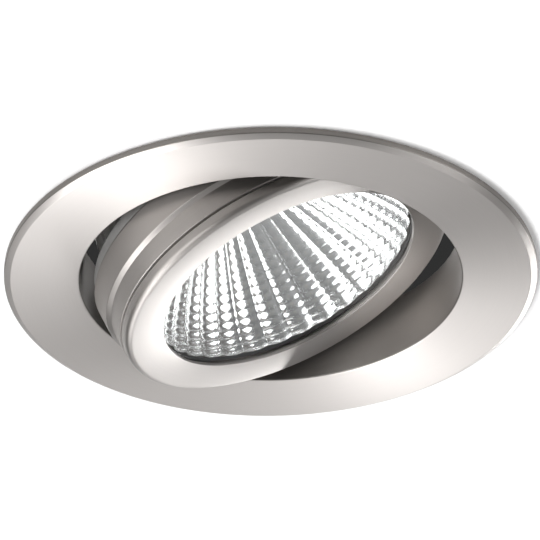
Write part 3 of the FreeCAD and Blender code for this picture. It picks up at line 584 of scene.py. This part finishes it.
def post_shells():
    """Clip post at +Y. Its inner face follows the bore, y = sqrt(opening squared - x squared). Its outer
    face is flat for the bracket, and a notch down its upper half takes the spring's fixed leg."""
    x = np.linspace(-POST_HALF_WIDTH, POST_HALF_WIDTH, 25)
    inner = np.stack([x, np.sqrt(OPENING ** 2 - x ** 2)], 1).tolist()
    first, last = [(POST_HALF_WIDTH, COLLAR, 0.3 * MM)], [(-POST_HALF_WIDTH, COLLAR, 0.3 * MM)]
    right, left = -SPRING_HALF + NOTCH_HALF, -SPRING_HALF - NOTCH_HALF
    notch_back = PIN_Y - SPRING_RADIUS - NOTCH_HALF
    notch = [(right, COLLAR), (right, notch_back), (left, notch_back), (left, COLLAR)]
    upper_bottom = NOTCH_FLOOR - OVERLAP
    low_rise, high_rise = (0, 0, NOTCH_FLOOR - POST_BOTTOM), (0, 0, POST_TOP - upper_bottom)
    lower = slab(inner + first + last, (0, 0, POST_BOTTOM), (1, 0, 0), (0, 1, 0), low_rise)
    upper = slab(inner + first + notch + last, (0, 0, upper_bottom), (1, 0, 0), (0, 1, 0), high_rise)
    return [lower, upper]


def pad_shell():
    """Round pivot pad at +Y, through the collar's wall."""
    start = OPENING - PAD_PROUD
    outline = circle_outline(PAD_RADIUS, PIVOT_Z)
    return slab(outline, (0, start, 0), (1, 0, 0), (0, 0, 1), (0, COLLAR - start + SKIN, 0))


def rib_shell():
    """Rib in the corner of collar and flange, drawn at +X."""
    inner, outer = (OPENING + COLLAR) / 2, CUTOUT - RIB_SETBACK
    foot = FLANGE_BACK - FOAM_SEAT_DEPTH
    corners = [
        (inner, foot),
        (outer, foot),
        (outer, FLANGE_BACK + RIB_LOW, 0.3 * MM),
        (COLLAR, FLANGE_BACK + RIB_HIGH, 0.1 * MM),
        (inner, FLANGE_BACK + RIB_HIGH),
    ]
    return slab(corners, (0, -RIB_WALL / 2, 0), (1, 0, 0), (0, 0, 1), (0, RIB_WALL, 0))


def make_trim():
    """The casting: turned flange and collar, two clip posts, two pivot pads and eight ribs."""
    shells = [flange_shell()]
    for side in (0, math.pi):
        shells += [placed(shell, turned_about_z, side) for shell in post_shells() + [pad_shell()]]
    for i in range(RIBS):
        shells.append(placed(rib_shell(), turned_about_z, (i + 0.5) * 2 * math.pi / RIBS))
    return mesh_object("trim_casting", shells)


def refined(node, bevel=0.1 * MM):
    """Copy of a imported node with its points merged, smooth faces and small rounded edges."""
    source = frame["nodes"][node]
    obj = bpy.data.objects.new(node + "_finished", source.data.copy())
    bpy.context.collection.objects.link(obj)
    bpy.context.view_layer.objects.active = obj
    obj.select_set(True)
    bpy.ops.object.mode_set(mode="EDIT")
    bpy.ops.mesh.select_all(action="SELECT")
    bpy.ops.mesh.remove_doubles(threshold=1e-6)
    bpy.ops.mesh.dissolve_limited(angle_limit=math.radians(0.5))
    bpy.ops.object.mode_set(mode="OBJECT")
    bpy.ops.object.shade_smooth_by_angle(angle=math.radians(32))
    obj.select_set(False)
    edge = obj.modifiers.new("edge", "BEVEL")
    edge.width = bevel
    edge.segments = 2
    edge.limit_method = "ANGLE"
    edge.angle_limit = math.radians(50)
    return obj


def make_spring(node, side):
    """Torsion spring: the fixed leg, a helix (r cos a, r sin a, moving evenly along X) and the moving leg.
    One round wire is swept along this line, on rings square to its direction."""
    per_turn, sides = 40, 14
    droop = math.radians(WING_DROOP)
    first, last = math.pi, math.pi / 2 - droop - 2 * math.pi * SPRING_TURNS
    share = np.linspace(0, 1, per_turn * SPRING_TURNS)
    angle = first + (last - first) * share
    coil = np.stack([
        SPRING_HALF * (2 * share - 1),
        PIN_Y + SPRING_RADIUS * np.cos(angle),
        PIN_Z + SPRING_RADIUS * np.sin(angle),
    ], 1)
    foot = coil[0] - np.array([0, math.sin(first), -math.cos(first)]) * SPRING_FOOT
    arm = coil[-1] + np.array([0, math.sin(last), -math.cos(last)]) * SPRING_ARM
    line = np.concatenate([np.linspace(foot, coil[0], 12)[:-1], coil, np.linspace(coil[-1], arm, 16)[1:]])
    ahead = np.gradient(line, axis=0)
    ahead /= np.linalg.norm(ahead, axis=1, keepdims=True)
    sideways = np.cross(ahead, np.array([1.0, 0, 0]))
    sideways /= np.linalg.norm(sideways, axis=1, keepdims=True)
    up = np.cross(sideways, ahead)
    around = np.linspace(0, 2 * math.pi, sides, endpoint=False)[None, :, None]
    ring = np.cos(around) * sideways[:, None] + np.sin(around) * up[:, None]
    points = line[:, None] + SPRING_WIRE * ring
    end = np.arange(sides)
    caps = [end[::-1], end + (len(line) - 1) * sides]
    shell = (points, grid_faces(len(line), sides, False, True), caps)
    return mesh_object(node + "_wire", [placed(shell, turned_about_z, side)])


# ---------------------------------------------------------------- pieces of the head
def make_bezel():
    """Face ring of the head, with a rounded edge and a thin lip over the lens."""
    corners = [
        (WINDOW_RADIUS, W_FACE, 0.12 * MM),
        (BEZEL_RADIUS, W_FACE, 1.0 * MM),
        (BEZEL_RADIUS, W_BEZEL_BACK),
        (LENS_RADIUS + LENS_GAP, W_BEZEL_BACK),
        (LENS_RADIUS + LENS_GAP, W_LENS),
        (WINDOW_RADIUS, W_LENS),
    ]
    return mesh_object("bezel", [placed(turned(corners, 320), in_head)])


def make_housing():
    """Drum of the head: the groove behind the bezel, the front band, the bead, the wider rear band, and the
    two bosses that the pivot screws go into."""
    groove_floor = BEZEL_RADIUS - GROOVE_DEPTH
    corners = [
        (groove_floor, W_BEZEL_BACK),
        (groove_floor, W_BAND),
        (BAND_RADIUS, W_BAND, 0.15 * MM),
        (BAND_RADIUS, W_BEAD),
        (HEAD_RADIUS, W_BEAD + BEAD_RISE, 0.2 * MM),
        (HEAD_RADIUS, W_HOUSING_BACK, 0.4 * MM),
        (LENS_RADIUS - HOUSING_LAP, W_HOUSING_BACK),
        (LENS_RADIUS + HOUSING_GAP, W_BEZEL_BACK),
    ]
    boss_start = (0, BOSS_FACE - BOSS_DEPTH, 0)
    boss = slab(circle_outline(PAD_RADIUS, 0), boss_start, (1, 0, 0), (0, 0, 1), (0, BOSS_DEPTH, 0))
    shells = [turned(corners, 320)] + [placed(boss, turned_about_z, side) for side in (0, math.pi)]
    return mesh_object("housing_drum", [placed(shell, in_head) for shell in shells])


def make_lens():
    """Clear disc with rounded edges."""
    edge = LENS_WALL / 5
    corners = [(LENS_RADIUS, W_LENS, edge), (LENS_RADIUS, W_LENS_BACK, edge)]
    return mesh_object("lens_disc", [placed(turned_disc(corners), in_head)])


def make_gasket():
    """Thin rubber ring between the lens and the reflector's rim."""
    inner = LENS_RADIUS - GASKET_WIDTH
    corners = [(inner, W_LENS_BACK), (LENS_RADIUS, W_LENS_BACK), (LENS_RADIUS, W_RIM), (inner, W_RIM)]
    return mesh_object("gasket_ring", [placed(turned(corners, 192), in_head)])


def wall_radius(depth):
    """Radius of the reflector's wall. It falls from aperture to base as depth to the power of the bowl."""
    return APERTURE - (APERTURE - BASE_RADIUS) * (depth / REFLECTOR_DEPTH) ** BOWL


def make_reflector():
    """Bright fluted bowl, its inside a net of small pillows: round the bowl and down it, each cell bulges
    outwards by a parabola, one minus the square of the way from its middle, and meets the next in a ridge.
    The outside is the plain bowl, one wall further out. The two meet at a flat rim and a flat foot."""
    per_flute, per_row = 12, 6
    turn = np.arange(FLUTES * per_flute) / per_flute
    down = np.arange(ROWS * per_row + 1) / per_row
    across = (2 * (turn % 1.0) - 1)[None, :]
    along = (2 * (down % 1.0) - 1)[:, None]
    depth = down[:, None] * REFLECTOR_DEPTH / ROWS
    reach = wall_radius(depth) * (1 - FLUTE_DIP * across ** 2) - ROW_DIP * along ** 2
    angle = (FLUTE_TURN + turn * 2 * math.pi / FLUTES)[None, :]
    inside = np.stack([reach * np.cos(angle), reach * np.sin(angle), W_RIM + depth + 0 * angle], -1)
    outer_depth = np.linspace(BRIM_WALL, REFLECTOR_DEPTH, 24)
    radius = np.concatenate([[BRIM_RADIUS, BRIM_RADIUS], wall_radius(outer_depth) + REFLECTOR_WALL])[:, None]
    height = W_RIM + np.concatenate([[0, BRIM_WALL], outer_depth])[:, None]
    outside = np.stack([radius * np.cos(angle), radius * np.sin(angle), height + 0 * angle], -1)
    points = np.concatenate([inside[::-1], outside])
    shell = (points, grid_faces(len(points), len(turn), True, True), [])
    return mesh_object("reflector_bowl", [placed(shell, in_head)], 40.0)


# ---------------------------------------------------------------- stage, light, camera
def make_soffit():
    """Flat square board about the axis, with the fitting's round hole in it. The hole has even angles on a
    circle, and the board's edge has the same directions stretched to the sides of a square."""
    half, segments = 1.5, 128
    angle = np.linspace(0, 2 * math.pi, segments, endpoint=False)
    inner = np.stack([np.cos(angle), np.sin(angle)], 1)
    outer = inner / np.abs(inner).max(axis=1, keepdims=True) * half
    flat = np.concatenate([inner * CUTOUT, outer])
    points = np.concatenate([flat, np.zeros((len(flat), 1))], -1)
    mesh = bpy.data.meshes.new("soffit")
    mesh.from_pydata(points.tolist(), [], grid_faces(2, segments, False, True).tolist())
    soffit = bpy.data.objects.new("soffit", mesh)
    bpy.context.collection.objects.link(soffit)
    if mesh.polygons[0].normal.z > 0:
        mesh.flip_normals()
    mesh.materials.append(soffit_paint("soffit_paint"))


def area_light(name, place, size, power, aim=(0, 0, 0)):
    """Rectangular lamp of a power in watts, turned towards a point."""
    light = bpy.data.lights.new(name, "AREA")
    light.shape = "RECTANGLE"
    light.size, light.size_y = size
    light.energy = power
    obj = bpy.data.objects.new(name, light)
    bpy.context.collection.objects.link(obj)
    obj.location = place
    obj.rotation_euler = (Vector(aim) - Vector(place)).to_track_quat("-Z", "Y").to_euler()


def make_lights():
    """Room lamps stand below the soffit. The lamps above it light the back of the fitting only."""
    area_light("window_left", (-0.92, -0.42, -0.74), (1.2, 0.8), 10.5)
    area_light("room_below", (-0.65, 0.26, -1.09), (0.6, 0.6), 7.2)
    area_light("room_right", (1.08, -0.46, -0.46), (0.9, 0.6), 7.0)
    area_light("wall_right", (0.77, 0.98, -0.13), (0.9, 0.2), 6.5)
    area_light("wall_far", (-0.22, 0.88, -0.93), (0.7, 0.7), 3.3)
    area_light("void_above", (0.3, 0.3, 1.2), (1.2, 1.2), 7.0, BACK_AIM)
    for i, place in enumerate(BACK_PLACES):
        area_light("void_%d" % i, place, (0.9, 0.5), 6.0, BACK_AIM)


def make_world():
    """Plain grey world whose level changes with the height of the direction only."""
    world = bpy.data.worlds.new("room")
    bpy.context.scene.world = world
    world.use_nodes = True
    nodes = Nodes(world.node_tree)
    direction = nodes.add("ShaderNodeTexCoord").outputs["Generated"]
    rise = nodes.add("ShaderNodeSeparateXYZ", None, Vector=direction).outputs["Z"]
    below = nodes.add(
        "ShaderNodeMapRange", None, Value=rise, From_Min=-1.0, From_Max=SIDE_SINE, To_Min=DOWN_LEVEL,
        To_Max=SIDE_LEVEL,
    )
    level = nodes.add(
        "ShaderNodeMapRange", None, Value=rise, From_Min=-BLEND_SINE, From_Max=BLEND_SINE,
        To_Min=below.outputs[0], To_Max=VOID_LEVEL,
    )
    background = nodes.add("ShaderNodeBackground", None, Color=(1, 1, 1, 1), Strength=level.outputs[0])
    output = nodes.add("ShaderNodeOutputWorld")
    nodes.give(output, "Surface", background.outputs[0])


def make_camera():
    """Stands where the photograph was taken: in front, below the soffit, looking up at the origin."""
    turn = Matrix.Rotation(CAMERA_TURN, 3, "Z")
    place = turn @ Vector((0, -math.cos(CAMERA_BELOW), -math.sin(CAMERA_BELOW))) * CAMERA_DISTANCE
    right = turn @ Vector((1, 0, 0))
    up = turn @ Vector((0, -math.sin(CAMERA_BELOW), math.cos(CAMERA_BELOW)))
    rolled_right = right * math.cos(CAMERA_ROLL) + up * math.sin(CAMERA_ROLL)
    rolled_up = up * math.cos(CAMERA_ROLL) - right * math.sin(CAMERA_ROLL)
    back = place.normalized()
    axes = Matrix((rolled_right, rolled_up, back)).transposed()
    data = bpy.data.cameras.new("camera")
    data.sensor_width = SENSOR_MM
    data.lens = FOCAL_PIXELS / PICTURE_PIXELS * SENSOR_MM
    data.shift_x = (PICTURE_PIXELS / 2 - CENTRE_PIXEL[0]) / PICTURE_PIXELS
    data.shift_y = (CENTRE_PIXEL[1] - PICTURE_PIXELS / 2) / PICTURE_PIXELS
    data.clip_start, data.clip_end = 0.05, 20.0
    camera = bpy.data.objects.new("camera", data)
    bpy.context.collection.objects.link(camera)
    camera.matrix_world = Matrix.Translation(place) @ axes.to_4x4()
    bpy.context.scene.camera = camera


dress_nodes()
make_camera()
make_soffit()
make_lights()
make_world()
place_piece(make_trim(), "trim_ring", "trim")
place_piece(make_bezel(), "front_bezel", "head")
place_piece(make_housing(), "head_housing", "head")
place_piece(make_lens(), "lens", "head")
place_piece(make_gasket(), "lens_gasket", "head")
place_piece(make_reflector(), "reflector", "head")
for side_name, side_angle in (("rear", 0.0), ("front", math.pi)):
    place_piece(make_spring("clip_spring_" + side_name, side_angle), "clip_spring_" + side_name, "trim")
    place_piece(refined("clip_bracket_" + side_name), "clip_bracket_" + side_name, "trim")
    place_piece(refined("clip_wing_" + side_name), "clip_wing_" + side_name, side_name + "_wing")
    place_piece(refined("clip_pad_" + side_name, 0.25 * MM), "clip_pad_" + side_name, side_name + "_wing")
place_piece(refined("heat_sink", 0.2 * MM), "heat_sink", "head")

bpy.context.scene.view_settings.view_transform = "Standard"
